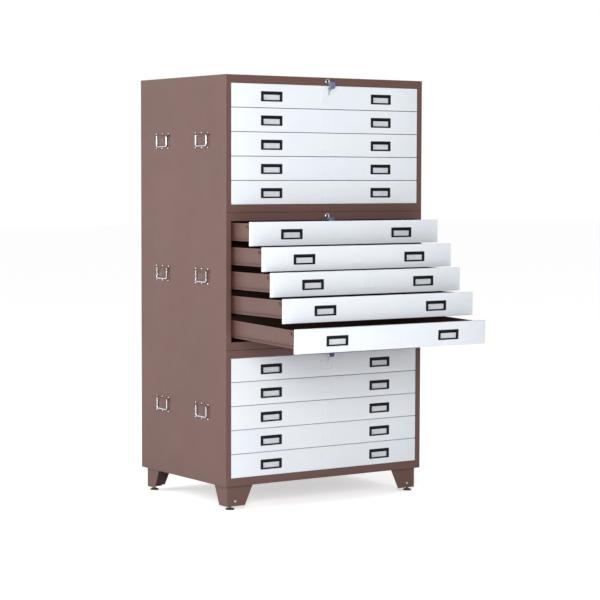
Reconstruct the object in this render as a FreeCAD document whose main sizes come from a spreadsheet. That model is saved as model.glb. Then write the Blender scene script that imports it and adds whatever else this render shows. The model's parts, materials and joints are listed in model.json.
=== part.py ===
import FreeCAD, Part
import Sketcher
import math
import os

# Flat file cabinet: three stacked sheet-steel cases with five shallow drawers each, on four bracket feet.
#
# Frame: millimetres, +Z up, drawer fronts face -Y, +X is the right-hand side seen from the front.
# Origin: on the floor, under the centre of the cases' footprint.
#
# The rest pose has the middle case's five drawers pulled out, each further than the one above it. The
# lowest of them has reached its stop and has nodded down over its front rollers.

Vector = FreeCAD.Vector
doc = FreeCAD.newDocument("flat_file_cabinet")

# ---------------------------------------------------------------------------------------------------
# Driving dimensions: alias, value in millimetres or degrees
# ---------------------------------------------------------------------------------------------------

SIZES = (
    # one case
    ("case_width", 1000),
    ("case_depth", 690),
    ("case_height", 560),
    ("case_base", 100),
    ("case_sheet", 1.2),
    ("stile", 25),
    ("rail", 33),
    ("frame_depth", 18),
    ("corner_radius", 3),
    # drawer front
    ("drawer_pitch", 98.8),
    ("front_width", 946),
    ("front_height", 96.4),
    ("front_gap", 1.2),
    ("front_depth", 17),
    ("front_sheet", 1),
    ("front_radius", 1.5),
    # recessed pull
    ("pull_offset", 278),
    ("pull_drop", 2.5),
    ("bezel_width", 105.5),
    ("bezel_height", 41.5),
    ("bezel_proud", 2),
    ("cup_width", 100),
    ("cup_height", 37),
    ("cup_depth", 14),
    ("mouth_width", 84),
    ("mouth_height", 28),
    ("mouth_lift", 5),
    ("grip_lip", 2),
    ("grip_undercut", 5),
    ("recess_depth", 8),
    # label holder
    ("label_width", 67),
    ("label_height", 42),
    ("label_sheet", 1.5),
    ("label_rim", 4),
    # drawer tray
    ("tray_width", 924),
    ("tray_length", 640),
    ("tray_height", 72),
    ("tray_lift", 18),
    ("tray_sheet", 1),
    ("lip_reach", 4),
    ("lip_height", 7),
    ("shelf_reach", 9.5),
    ("shelf_lift", 9),
    ("shelf_sheet", 1),
    ("hem_reach", 1.2),
    ("hem_height", 2),
    # lock catch on the left side of each tray
    ("catch_setback", 48),
    ("catch_length", 6),
    ("catch_height", 12),
    ("catch_drop", 7.5),
    ("catch_reach", 5.5),
    ("slot_setback", 26),
    ("slot_length", 15),
    ("slot_height", 7),
    ("slot_drop", 18),
    # runners: rollers and case channels
    ("roller_radius", 7.7),
    ("roller_width", 7),
    ("axle_radius", 2),
    ("roller_setback", 26.5),
    ("roller_lift", 19),
    ("rear_roller_end", 12),
    ("channel_lift", 10),
    ("channel_rise", 29),
    ("channel_reach", 10.5),
    ("channel_start", 20),
    ("channel_length", 642),
    ("post_width", 30),
    ("front_post", 80),
    ("rear_post", 560),
    # drawer travel
    ("travel", 470),
    ("open_1", 149),
    ("open_2", 240),
    ("open_3", 301),
    ("open_4", 388),
    ("sag", 1.75),
    # lock in the middle of each top rail
    ("barrel_radius", 9.5),
    ("barrel_bore", 7.05),
    ("barrel_flange", 12),
    ("flange_proud", 3),
    ("barrel_length", 18),
    ("plug_radius", 7),
    ("plug_length", 20),
    ("cam_sheet", 2.5),
    ("cam_throw", 11.3),
    ("cam_pin", 2.5),
    ("key_blade", 2.2),
    ("key_height", 7),
    ("key_reach", 14),
    ("bow_width", 5),
    ("bow_length", 22),
    ("bow_height", 22),
    ("bow_drop", 3),
    # lock bar behind the left stile
    ("bar_sheet", 3),
    ("bar_height", 12),
    ("bar_setback", 24.5),
    ("strip_inset", 20),
    ("strip_width", 24),
    ("strip_foot", 50),
    ("bar_rise", 16),
    ("tab_reach", 12.5),
    ("tab_length", 5),
    ("arm_past_middle", 20),
    ("cam_slot_start", 4.5),
    ("cam_slot_length", 10.5),
    # carrying handles on the sides
    ("handle_spacing", 160),
    ("handle_lift", 297),
    ("plate_length", 116),
    ("plate_height", 70),
    ("plate_sheet", 1.5),
    ("bail_reach", 81),
    ("bail_drop", 44),
    ("bail_rod", 3),
    ("bail_bend", 8),
    ("bail_standoff", 4),
    ("pivot_lift", 20),
    ("pivot_radius", 2),
    ("ear_length", 8),
    ("ear_height", 8),
    ("ear_reach", 8),
    ("ear_gap", 1),
    ("ear_bore", 2.05),
    # bracket feet and levellers
    ("foot_inset", 18),
    ("foot_height", 85),
    ("foot_front_top", 125),
    ("foot_front_toe", 86),
    ("foot_side_top", 100),
    ("foot_side_toe", 62),
    ("foot_sheet", 2.5),
    ("flange_short", 4),
    ("flange_width", 30),
    ("foot_shelf_lift", 4),
    ("foot_shelf_sheet", 3.5),
    ("shelf_width", 46),
    ("leveller_inset", 42),
    ("leveller_setback", 36),
    ("leveller_pad", 18),
    ("leveller_thickness", 8),
    ("leveller_stem", 5),
    ("leveller_bore", 5.05),
    ("leveller_length", 62),
)

CASES = ("lower", "middle", "upper")
DRAWERS = (1, 2, 3, 4, 5)
OPEN_CASE = "middle"
NODDING_DRAWER = 5
SIDES = (("left", -1), ("right", 1))


def make_sheet():
    """The spreadsheet that holds every driving dimension, one alias per row."""
    page = doc.addObject("Spreadsheet::Sheet", "sizes")
    for row, (alias, number) in enumerate(SIZES, start=1):
        page.set(f"A{row}", alias)
        page.set(f"B{row}", str(number))
        page.setAlias(f"B{row}", alias)
    doc.recompute()
    return page


sheet = make_sheet()


def value(expression):
    """The number that an expression of the spreadsheet's aliases gives."""
    return float(sheet.evalExpression(expression))


# ---------------------------------------------------------------------------------------------------
# Small builders: every size is an expression of the spreadsheet's cells
# ---------------------------------------------------------------------------------------------------


def place(item, corner):
    """Bind an object's position to three expressions."""
    for axis, expression in zip("xyz", corner):
        item.setExpression(f".Placement.Base.{axis}", expression)
    return item


def box(name, corner, size):
    """A box from its lowest corner and its three sizes."""
    solid = doc.addObject("Part::Box", name)
    for side, expression in zip(("Length", "Width", "Height"), size):
        solid.setExpression(side, expression)
    return place(solid, corner)


TURNS = {
    "x": FreeCAD.Rotation(Vector(0, 1, 0), 90),
    "y": FreeCAD.Rotation(Vector(1, 0, 0), -90),
    "z": FreeCAD.Rotation(),
}


def rod(name, axis, start, radius, length):
    """A cylinder that starts at a point and runs along +X, +Y or +Z."""
    solid = doc.addObject("Part::Cylinder", name)
    solid.setExpression("Radius", radius)
    solid.setExpression("Height", length)
    solid.Placement = FreeCAD.Placement(Vector(), TURNS[axis])
    return place(solid, start)


def fused(name, pieces):
    """One solid from several that touch or overlap."""
    whole = doc.addObject("Part::MultiFuse", name)
    whole.Shapes = pieces
    return whole


def cut(name, base, tool):
    """A solid with another taken out of it."""
    rest = doc.addObject("Part::Cut", name)
    rest.Base = base
    rest.Tool = tool
    return rest


def grouped(label, pieces):
    """Several separate solids under one name."""
    group = doc.addObject("Part::Compound", label)
    group.Links = pieces
    group.Label = label
    return group


def mirrored(name, source, normal):
    """A copy on the other side of the origin plane with this normal."""
    copy = doc.addObject("Part::Mirroring", name)
    copy.Source = source
    copy.Normal = normal
    return copy


def body_for(name):
    """A new PartDesign body."""
    return doc.addObject("PartDesign::Body", name)


def sketch_on(body, name, role, offset=None):
    """A sketch on one of the body's own origin planes, moved along its normal by an expression."""
    sketch = body.newObject("Sketcher::SketchObject", name)
    plane = next(part for part in body.Origin.OriginFeatures if part.Role == role)
    sketch.AttachmentSupport = [(plane, "")]
    sketch.MapMode = "FlatFace"
    if offset:
        sketch.setExpression(".AttachmentOffset.Base.z", offset)
    return sketch


def outline(sketch, corners):
    """A closed polygon; each corner is two expressions, measured from the sketch's origin."""
    first = sketch.GeometryCount
    spots = [Vector(value(across), value(up), 0) for across, up in corners]
    for start, end in zip(spots, spots[1:] + spots[:1]):
        sketch.addGeometry(Part.LineSegment(start, end), False)
    for index, pair in enumerate(corners):
        line = first + index
        after = first + (index + 1) % len(corners)
        sketch.addConstraint(Sketcher.Constraint("Coincident", line, 2, after, 1))
        for kind, expression in zip(("DistanceX", "DistanceY"), pair):
            constraint = Sketcher.Constraint(kind, -1, 1, line, 1, value(expression))
            number = sketch.addConstraint(constraint)
            sketch.setExpression(f"Constraints[{number}]", expression)
    return sketch


def rectangle(sketch, left, low, right, high):
    """A rectangle between two pairs of expressions."""
    return outline(sketch, ((left, low), (right, low), (right, high), (left, high)))


def circle(sketch, across, up, radius):
    """A circle whose centre and radius are expressions."""
    centre = Vector(value(across), value(up), 0)
    number = sketch.addGeometry(Part.Circle(centre, Vector(0, 0, 1), value(radius)), False)
    for kind, expression in (("DistanceX", across), ("DistanceY", up)):
        added = sketch.addConstraint(Sketcher.Constraint(kind, -1, 1, number, 3, value(expression)))
        sketch.setExpression(f"Constraints[{added}]", expression)
    added = sketch.addConstraint(Sketcher.Constraint("Radius", number, value(radius)))
    sketch.setExpression(f"Constraints[{added}]", radius)
    return sketch


def extruded(body, kind, sketch, name, length, reverse=False):
    """A Pad or a Pocket of a sketch."""
    feature = body.newObject(f"PartDesign::{kind}", name)
    feature.Profile = sketch
    feature.setExpression("Length", length)
    feature.Reversed = reverse
    sketch.Visibility = False
    return feature


def edges_where(feature, test):
    """Names of a feature's edges whose two ends both pass a test."""
    doc.recompute()
    names = []
    for index, edge in enumerate(feature.Shape.Edges, start=1):
        ends = [vertex.Point for vertex in edge.Vertexes]
        if len(ends) == 2 and all(test(end) for end in ends):
            names.append(f"Edge{index}")
    return names


def rounded(body, feature, name, radius, test):
    """A fillet along the edges that pass a test."""
    fillet = body.newObject("PartDesign::Fillet", name)
    fillet.Base = (feature, edges_where(feature, test))
    fillet.setExpression("Radius", radius)
    return fillet


# ---------------------------------------------------------------------------------------------------
# Cases
# ---------------------------------------------------------------------------------------------------


def floor_of(level):
    """Height of a case's underside."""
    return f"sizes.case_base + {level} * sizes.case_height"


def make_case(case, level):
    """A folded shell with a channel-section front frame, and the back panel that closes it."""
    body = body_for(f"{case}_shell")
    half = "sizes.case_width / 2"
    inner = "sizes.case_width / 2 - sizes.case_sheet"
    top = "sizes.case_height"
    inner_top = "sizes.case_height - sizes.case_sheet"
    opening = "sizes.case_width / 2 - sizes.stile"
    opening_top = "sizes.case_height - sizes.rail"

    outer = rectangle(sketch_on(body, "outer", "XZ_Plane"), f"-({half})", "0", half, top)
    extruded(body, "Pad", outer, "block", "sizes.case_depth", True)

    hollow = sketch_on(body, "hollow", "XZ_Plane", "-sizes.case_depth")
    rectangle(hollow, f"-({inner})", "sizes.case_sheet", inner, inner_top)
    extruded(body, "Pocket", hollow, "inside", "sizes.case_depth - sizes.frame_depth", True)

    mouth = sketch_on(body, "mouth", "XZ_Plane")
    rectangle(mouth, f"-({opening})", "sizes.rail", opening, opening_top)
    extruded(body, "Pocket", mouth, "opening", "sizes.frame_depth + 1")

    fold = sketch_on(body, "fold", "XZ_Plane", "-sizes.frame_depth")
    rectangle(fold, f"-({inner})", "sizes.case_sheet", inner, inner_top)
    lip = f"{opening} + sizes.case_sheet"
    lip_low = "sizes.rail - sizes.case_sheet"
    lip_top = f"{opening_top} + sizes.case_sheet"
    rectangle(fold, f"-({lip})", lip_low, lip, lip_top)
    extruded(body, "Pocket", fold, "frame_fold", "sizes.frame_depth - sizes.case_sheet", True)

    keyhole = sketch_on(body, "keyhole", "XZ_Plane")
    circle(keyhole, "0", "sizes.case_height - sizes.rail / 2", "sizes.barrel_radius")
    hole = extruded(body, "Pocket", keyhole, "lock_hole", "sizes.case_sheet + 1")

    def on_front_corner(point):
        return abs(point.y) < 0.01 and abs(abs(point.x) - value(half)) < 0.01

    rounded(body, hole, "bend", "sizes.corner_radius", on_front_corner)

    back = box(
        f"{case}_back",
        (f"-({inner})", "sizes.case_depth - sizes.case_sheet - 1", "sizes.case_sheet"),
        (f"2 * ({inner})", "sizes.case_sheet", f"{inner_top} - sizes.case_sheet"),
    )
    shell = grouped(f"{case}_case", [body, back])
    return place(shell, ("0", "-sizes.case_depth / 2", floor_of(level)))


# ---------------------------------------------------------------------------------------------------
# Drawers. A drawer's own frame has its origin at the middle of the front's lower edge, on its face.
# ---------------------------------------------------------------------------------------------------


def drawer_floor(level, drawer):
    """Height of a drawer front's lower edge; drawer 1 is the top one."""
    steps = DRAWERS[-1] - drawer
    return f"{floor_of(level)} + sizes.rail + {steps} * sizes.drawer_pitch + sizes.front_gap"


def reach_of(case, drawer):
    """How far a drawer is pulled out in the rest pose."""
    if nods(case, drawer):
        return "sizes.travel"
    return f"sizes.open_{drawer}" if case == OPEN_CASE else "0"


def nods(case, drawer):
    """True for the one drawer that is out to its stop."""
    return case == OPEN_CASE and drawer == NODDING_DRAWER


def place_drawer(item, case, level, drawer):
    """Put a drawer's piece where it rests: closed, pulled out, or pulled out and nodded down."""
    reach = reach_of(case, drawer)
    floor = drawer_floor(level, drawer)
    if not nods(case, drawer):
        return place(item, ("0", f"-sizes.case_depth / 2 - {reach}", floor))
    item.Placement = FreeCAD.Placement(Vector(), FreeCAD.Rotation(Vector(1, 0, 0), value("sizes.sag")))
    arm = f"(sizes.roller_setback + {reach})"
    back = f"{arm} * cos(sizes.sag) - sizes.roller_lift * sin(sizes.sag)"
    rise = f"{arm} * sin(sizes.sag) + sizes.roller_lift * cos(sizes.sag)"
    pivot = "-sizes.case_depth / 2 + sizes.roller_setback"
    return place(item, ("0", f"{pivot} - ({back})", f"{floor} + sizes.roller_lift - ({rise})"))


def pull_middle(side):
    """Across and up from the drawer's origin to the middle of a pull."""
    return f"{side} * sizes.pull_offset", "sizes.front_height / 2 - sizes.pull_drop"


def make_pan(name):
    """The folded front panel with its two pull windows."""
    body = body_for(f"{name}_pan")
    half = "sizes.front_width / 2"
    inner = "sizes.front_width / 2 - sizes.front_sheet"

    face = sketch_on(body, "face", "XZ_Plane")
    rectangle(face, f"-({half})", "0", half, "sizes.front_height")
    extruded(body, "Pad", face, "panel", "sizes.front_depth", True)

    hollow = sketch_on(body, "hollow", "XZ_Plane", "-sizes.front_depth")
    rectangle(hollow, f"-({inner})", "sizes.front_sheet", inner, "sizes.front_height - sizes.front_sheet")
    extruded(body, "Pocket", hollow, "folds", "sizes.front_depth - sizes.front_sheet", True)

    windows = sketch_on(body, "windows", "XZ_Plane")
    for _, side in SIDES:
        across, up = pull_middle(side)
        wide = "sizes.cup_width / 2"
        tall = "sizes.cup_height / 2"
        rectangle(windows, f"{across} - {wide}", f"{up} - {tall}", f"{across} + {wide}", f"{up} + {tall}")
    holes = extruded(body, "Pocket", windows, "pull_windows", "sizes.front_sheet + 1")

    def on_rim(point):
        beside = abs(abs(point.x) - value(half)) < 0.01
        level = min(abs(point.z), abs(point.z - value("sizes.front_height"))) < 0.01
        return abs(point.y) < 0.01 and (beside or level)

    rounded(body, holes, "bend", "sizes.front_radius", on_rim)
    return body


def make_pull(name, side):
    """A moulded pull: a bezel on the face, and a cup behind it with an undercut for the fingertips."""
    across, up = pull_middle(side)
    low = f"{up} - sizes.bezel_height / 2"

    def centred(label, wide, front, bottom, deep, tall):
        return box(f"{name}_{label}", (f"{across} - {wide} / 2", front, bottom), (wide, deep, tall))

    bezel = centred("bezel", "sizes.bezel_width", "-sizes.bezel_proud", low,
                    "sizes.bezel_proud", "sizes.bezel_height")
    cup = centred("cup", "sizes.cup_width", "0", f"{up} - sizes.cup_height / 2",
                  "sizes.cup_depth", "sizes.cup_height")
    mouth_floor = f"{low} + sizes.mouth_lift"
    mouth = centred("mouth", "sizes.mouth_width", "-sizes.bezel_proud - 1", mouth_floor,
                    "sizes.recess_depth + sizes.bezel_proud + 1", "sizes.mouth_height")
    undercut = centred("undercut", "sizes.mouth_width", "sizes.grip_lip", mouth_floor,
                       "sizes.recess_depth - sizes.grip_lip", "sizes.mouth_height + sizes.grip_undercut")
    outer = fused(f"{name}_outer", [bezel, cup])
    space = fused(f"{name}_space", [mouth, undercut])
    return cut(name, outer, space)


def make_label_holder(name):
    """A shallow frame in the middle of the front that a card slides into from above."""
    up = "sizes.front_height / 2 - sizes.pull_drop"
    plate = box(
        f"{name}_plate",
        ("-sizes.label_width / 2", "-sizes.label_sheet", f"{up} - sizes.label_height / 2"),
        ("sizes.label_width", "sizes.label_sheet", "sizes.label_height"),
    )
    window = box(
        f"{name}_window",
        (
            "-sizes.label_width / 2 + sizes.label_rim",
            "-sizes.label_sheet - 1",
            f"{up} - sizes.label_height / 2 + sizes.label_rim",
        ),
        (
            "sizes.label_width - 2 * sizes.label_rim",
            "sizes.label_sheet / 2 + 1",
            "sizes.label_height",
        ),
    )
    return cut(name, plate, window)


def make_front(case, level, drawer):
    """A drawer front: folded pan, the panel that closes it behind, two pulls and a label holder."""
    name = f"{case}_drawer_{drawer}_front"
    lining = box(
        f"{name}_lining",
        (
            "-sizes.front_width / 2 + sizes.front_sheet",
            "sizes.front_depth - sizes.front_sheet",
            "sizes.front_sheet",
        ),
        (
            "sizes.front_width - 2 * sizes.front_sheet",
            "sizes.front_sheet",
            "sizes.front_height - 2 * sizes.front_sheet",
        ),
    )
    pulls = [make_pull(f"{name}_{label}_pull", side) for label, side in SIDES]
    pieces = [make_pan(name), lining, *pulls, make_label_holder(f"{name}_label_holder")]
    return place_drawer(grouped(name, pieces), case, level, drawer)


def make_tray_body(name):
    """The open tray: a floor and four walls, with the lock's slot in the left one."""
    body = body_for(f"{name}_box")
    half = "sizes.tray_width / 2"
    front = "sizes.front_depth"
    back = "sizes.front_depth + sizes.tray_length"
    rim = "sizes.tray_lift + sizes.tray_height"

    footprint = sketch_on(body, "footprint", "XY_Plane", "sizes.tray_lift")
    rectangle(footprint, f"-({half})", front, half, back)
    extruded(body, "Pad", footprint, "block", "sizes.tray_height")

    inside = sketch_on(body, "inside", "XY_Plane", rim)
    wall = f"{half} - sizes.tray_sheet"
    rectangle(inside, f"-({wall})", f"{front} + sizes.tray_sheet", wall, f"{back} - sizes.tray_sheet")
    extruded(body, "Pocket", inside, "hollow", "sizes.tray_height - sizes.tray_sheet")

    slot = sketch_on(body, "slot", "YZ_Plane", f"-({half} + 1)")
    slot_low = f"{rim} - sizes.slot_drop - sizes.slot_height"
    rectangle(slot, "sizes.slot_setback", slot_low,
              "sizes.slot_setback + sizes.slot_length", f"{rim} - sizes.slot_drop")
    extruded(body, "Pocket", slot, "catch_slot", "sizes.tray_sheet + 2", True)
    return body


def roller_edge(side):
    """Lowest X of a roller on one side: the rollers run in the gap beside the tray."""
    if side < 0:
        return "-sizes.tray_width / 2 - sizes.shelf_reach + 1"
    return "sizes.tray_width / 2 + sizes.shelf_reach - sizes.roller_width - 1"


def make_tray_edges(name, label, side):
    """The folds outside one side wall: its lip, the shelf that rides on the rollers, and the floor's hem."""
    edges = []
    for fold, reach, low, thick, length in (
        ("lip", "sizes.lip_reach", "sizes.tray_lift + sizes.tray_height - sizes.lip_height",
         "sizes.lip_height", "sizes.tray_length"),
        ("shelf", "sizes.shelf_reach", "sizes.tray_lift + sizes.shelf_lift",
         "sizes.shelf_sheet", "sizes.tray_length"),
        ("hem", "sizes.hem_reach", "sizes.tray_lift",
         "sizes.hem_height", "sizes.tray_length - 2 * sizes.rear_roller_end"),
    ):
        edge = "sizes.tray_width / 2" if side > 0 else f"-sizes.tray_width / 2 - {reach}"
        corner = (edge, "sizes.front_depth", low)
        edges.append(box(f"{name}_{label}_{fold}", corner, (reach, length, thick)))
    return edges


def make_rear_roller(name, label, side):
    """The roller at the back of one side of a tray, on its axle."""
    middle = "sizes.front_depth + sizes.tray_length - sizes.rear_roller_end"
    roller = rod(f"{name}_{label}_roller", "x", (roller_edge(side), middle, "sizes.roller_lift"),
                 "sizes.roller_radius", "sizes.roller_width")
    axle_start = f"{roller_edge(side)} + sizes.roller_width" if side < 0 else "sizes.tray_width / 2"
    axle = rod(f"{name}_{label}_axle", "x", (axle_start, middle, "sizes.roller_lift"),
               "sizes.axle_radius", "sizes.shelf_reach - sizes.roller_width - 1")
    return fused(f"{name}_{label}_rear_roller", [roller, axle])


def make_tray(case, level, drawer):
    """A drawer's tray with the folds along its sides, the lock's catch, and its rear rollers."""
    name = f"{case}_drawer_{drawer}_tray"
    catch = box(
        f"{name}_catch",
        ("-sizes.tray_width / 2 - sizes.catch_reach", "sizes.catch_setback",
         "sizes.tray_lift + sizes.tray_height - sizes.catch_drop - sizes.catch_height"),
        ("sizes.catch_reach", "sizes.catch_length", "sizes.catch_height"),
    )
    pieces = [make_tray_body(name), catch]
    for label, side in SIDES:
        pieces += make_tray_edges(name, label, side)
        pieces.append(make_rear_roller(name, label, side))
    return place_drawer(grouped(name, pieces), case, level, drawer)


# ---------------------------------------------------------------------------------------------------
# Runners fixed in the cases
# ---------------------------------------------------------------------------------------------------


def make_channel(name, side, floor):
    """One case-side runner: a C channel, open towards the drawer."""
    web = "sizes.case_width / 2 - sizes.stile - sizes.case_sheet"
    back = f"-sizes.case_depth / 2 + sizes.channel_start"
    bottom = f"{floor} + sizes.channel_lift"
    top = f"{bottom} + sizes.channel_rise - sizes.case_sheet"
    web_edge = web if side > 0 else f"-({web}) - sizes.case_sheet"
    flange_edge = f"{web} - sizes.channel_reach" if side > 0 else f"-({web})"
    size = ("sizes.channel_reach", "sizes.channel_length", "sizes.case_sheet")
    plate = box(f"{name}_web", (web_edge, back, bottom),
                ("sizes.case_sheet", "sizes.channel_length", "sizes.channel_rise"))
    lower = box(f"{name}_lower_flange", (flange_edge, back, bottom), size)
    upper = box(f"{name}_upper_flange", (flange_edge, back, top), size)
    return fused(name, [plate, lower, upper])


def make_front_roller(name, side, floor):
    """The roller at the front of a case-side runner, with the axle that joins it to the channel's web."""
    web = "sizes.case_width / 2 - sizes.stile - sizes.case_sheet"
    middle = "-sizes.case_depth / 2 + sizes.roller_setback"
    height = f"{floor} + sizes.roller_lift"
    start = roller_edge(side)
    roller = rod(f"{name}_wheel", "x", (start, middle, height), "sizes.roller_radius", "sizes.roller_width")
    if side > 0:
        axle_start = f"{start} + sizes.roller_width"
    else:
        axle_start = f"-({web})"
    length = f"{web} - sizes.tray_width / 2 - sizes.shelf_reach + 1"
    axle = rod(f"{name}_axle", "x", (axle_start, middle, height), "sizes.axle_radius", length)
    return fused(name, [roller, axle])


def make_posts(case, level):
    """Four upright posts that carry a case's channels off its side walls."""
    inner = "sizes.case_width / 2 - sizes.case_sheet"
    reach = "sizes.stile - sizes.case_sheet"
    posts = []
    for label, side in SIDES:
        edge = f"-({inner})" if side < 0 else f"{inner} - ({reach})"
        for spot in ("front", "rear"):
            front = f"-sizes.case_depth / 2 + sizes.{spot}_post"
            posts.append(box(
                f"{case}_{label}_{spot}_post",
                (edge, front, f"{floor_of(level)} + sizes.case_sheet"),
                (reach, "sizes.post_width", "sizes.case_height - 2 * sizes.case_sheet"),
            ))
    return posts


def make_runners():
    """Every case-side channel, front roller and post, and the pair of rollers that turns with a nod."""
    fixed = []
    nodding = []
    for level, case in enumerate(CASES):
        fixed += make_posts(case, level)
        for drawer in DRAWERS:
            floor = drawer_floor(level, drawer)
            for label, side in SIDES:
                name = f"{case}_{drawer}_{label}"
                fixed.append(make_channel(f"{name}_channel", side, floor))
                roller = make_front_roller(f"{name}_front_roller", side, floor)
                if nods(case, drawer):
                    nodding.append(roller)
                else:
                    fixed.append(roller)
    return grouped("drawer_runners", fixed), grouped("middle_drawer_5_rollers", nodding)


# ---------------------------------------------------------------------------------------------------
# Locks
# ---------------------------------------------------------------------------------------------------


def lock_height(level):
    """Height of a lock's axis, half way up the top rail."""
    return f"{floor_of(level)} + sizes.case_height - sizes.rail / 2"


def make_barrel(case, level):
    """A flanged sleeve through the top rail."""
    face = "-sizes.case_depth / 2"
    height = lock_height(level)
    name = f"{case}_barrel"
    flange = rod(f"{name}_flange", "y", ("0", f"{face} - sizes.flange_proud", height),
                 "sizes.barrel_flange", "sizes.flange_proud")
    sleeve = rod(f"{name}_sleeve", "y", ("0", face, height), "sizes.barrel_radius", "sizes.barrel_length")
    bore = rod(f"{name}_bore", "y", ("0", f"{face} - sizes.flange_proud - 1", height),
               "sizes.barrel_bore", "sizes.barrel_length + sizes.flange_proud + 2")
    return cut(name, fused(f"{name}_outer", [flange, sleeve]), bore)


def make_plug(case, level):
    """The turning plug with its key in front, and its cam and cam pin behind."""
    name = f"{case}_lock_plug"
    face = "-sizes.case_depth / 2"
    height = lock_height(level)
    nose = f"{face} - sizes.flange_proud + 0.5"
    tail = f"{face} + sizes.plug_length"
    plug = rod(f"{name}_plug", "y", ("0", nose, height), "sizes.plug_radius",
               "sizes.plug_length + sizes.flange_proud - 0.5")
    blade = box(f"{name}_blade",
                ("-sizes.key_blade / 2", f"{nose} - sizes.key_reach", f"{height} - sizes.key_height / 2"),
                ("sizes.key_blade", "sizes.key_reach", "sizes.key_height"))
    bow = box(f"{name}_bow",
              ("-sizes.bow_width / 2", f"{nose} - sizes.key_reach - sizes.bow_length",
               f"{height} - sizes.bow_height / 2 - sizes.bow_drop"),
              ("sizes.bow_width", "sizes.bow_length", "sizes.bow_height"))
    throw = f"sizes.cam_throw * {math.sqrt(0.5):.6f}"
    cam = box(f"{name}_cam_plate", ("-sizes.cam_pin - 1", tail, f"{height} - {throw} - sizes.cam_pin - 1"),
              (f"{throw} + 2 * sizes.cam_pin + 2", "sizes.cam_sheet", f"{throw} + 2 * sizes.cam_pin + 2"))
    pin = rod(f"{name}_pin", "y", (throw, tail, f"{height} - {throw}"), "sizes.cam_pin",
              "sizes.bar_setback - sizes.plug_length + sizes.bar_sheet")
    turning = fused(f"{name}_turning", [plug, blade, cam, pin])
    return grouped(name, [turning, bow])


def make_lock_bar(case, level):
    """The bar that the cam lifts: an arm behind the rail, and a strip with five tabs behind the stile."""
    name = f"{case}_lock_bar"
    height = lock_height(level)
    throw = f"sizes.cam_throw * {math.sqrt(0.5):.6f}"
    plane = "-sizes.case_depth / 2 + sizes.bar_setback"
    strip_edge = "-sizes.case_width / 2 + sizes.strip_inset"
    arm_low = f"{height} - {throw} - sizes.bar_height / 2"
    arm_edge = f"{strip_edge} + sizes.bar_sheet"
    arm = box(f"{name}_arm_plate", (arm_edge, plane, arm_low),
              (f"-({arm_edge}) + sizes.arm_past_middle", "sizes.bar_sheet", "sizes.bar_height"))
    slot = box(f"{name}_slot",
               ("sizes.cam_slot_start", f"{plane} - 1", f"{height} - {throw} - sizes.cam_pin - 0.5"),
               ("sizes.cam_slot_length", "sizes.bar_sheet + 2", "2 * sizes.cam_pin + 1"))
    foot = f"{floor_of(level)} + sizes.strip_foot"
    strip = box(f"{name}_strip", (strip_edge, plane, foot),
                ("sizes.bar_sheet", "sizes.strip_width", f"{arm_low} + sizes.bar_height - ({foot})"))
    pieces = [cut(f"{name}_arm", arm, slot), strip]
    for drawer in DRAWERS:
        low = f"{drawer_floor(level, drawer)} + sizes.tray_lift + sizes.tray_height"
        low = f"{low} - sizes.catch_drop - sizes.catch_height - sizes.bar_rise"
        tab_front = "-sizes.case_depth / 2 + sizes.catch_setback - sizes.tab_length - 1"
        pieces.append(box(f"{name}_tab_{drawer}", (arm_edge, tab_front, low),
                          ("sizes.tab_reach", "sizes.tab_length", "sizes.catch_height")))
    return grouped(name, pieces)


# ---------------------------------------------------------------------------------------------------
# Carrying handles
# ---------------------------------------------------------------------------------------------------


def handle_spots():
    """Name, case level, side and Y direction of the twelve handles."""
    for level, case in enumerate(CASES):
        for label, side in SIDES:
            for spot, along in (("front", -1), ("rear", 1)):
                yield f"{case}_{label}_{spot}", level, side, along


def make_plate(name, level, side, along):
    """A backing plate on the case's side, with two bored ears that hold the bail's pivots."""
    middle = f"{along} * sizes.handle_spacing"
    height = f"{floor_of(level)} + sizes.handle_lift"
    outer = "sizes.case_width / 2"
    edge = outer if side > 0 else f"-({outer}) - sizes.plate_sheet"
    plate = box(
        f"{name}_backing",
        (edge, f"{middle} - sizes.plate_length / 2", f"{height} - sizes.plate_height / 2"),
        ("sizes.plate_sheet", "sizes.plate_length", "sizes.plate_height"),
    )
    face = f"{outer} + sizes.plate_sheet"
    ear_edge = face if side > 0 else f"-({face}) - sizes.ear_reach"
    ears = []
    for end in (-1, 1):
        inside = f"{middle} + {end} * (sizes.bail_reach / 2 + sizes.bail_rod + sizes.ear_gap)"
        start = inside if end > 0 else f"{inside} - sizes.ear_length"
        ears.append(box(
            f"{name}_ear",
            (ear_edge, start, f"{height} + sizes.pivot_lift - sizes.ear_height / 2"),
            ("sizes.ear_reach", "sizes.ear_length", "sizes.ear_height"),
        ))
    pivot = f"{side} * ({face} + sizes.bail_standoff)"
    bore = rod(
        f"{name}_bore", "y",
        (pivot, f"{middle} - sizes.plate_length / 2", f"{height} + sizes.pivot_lift"),
        "sizes.ear_bore", "sizes.plate_length",
    )
    return cut(f"{name}_plate", fused(f"{name}_blank", [plate, *ears]), bore)


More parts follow.
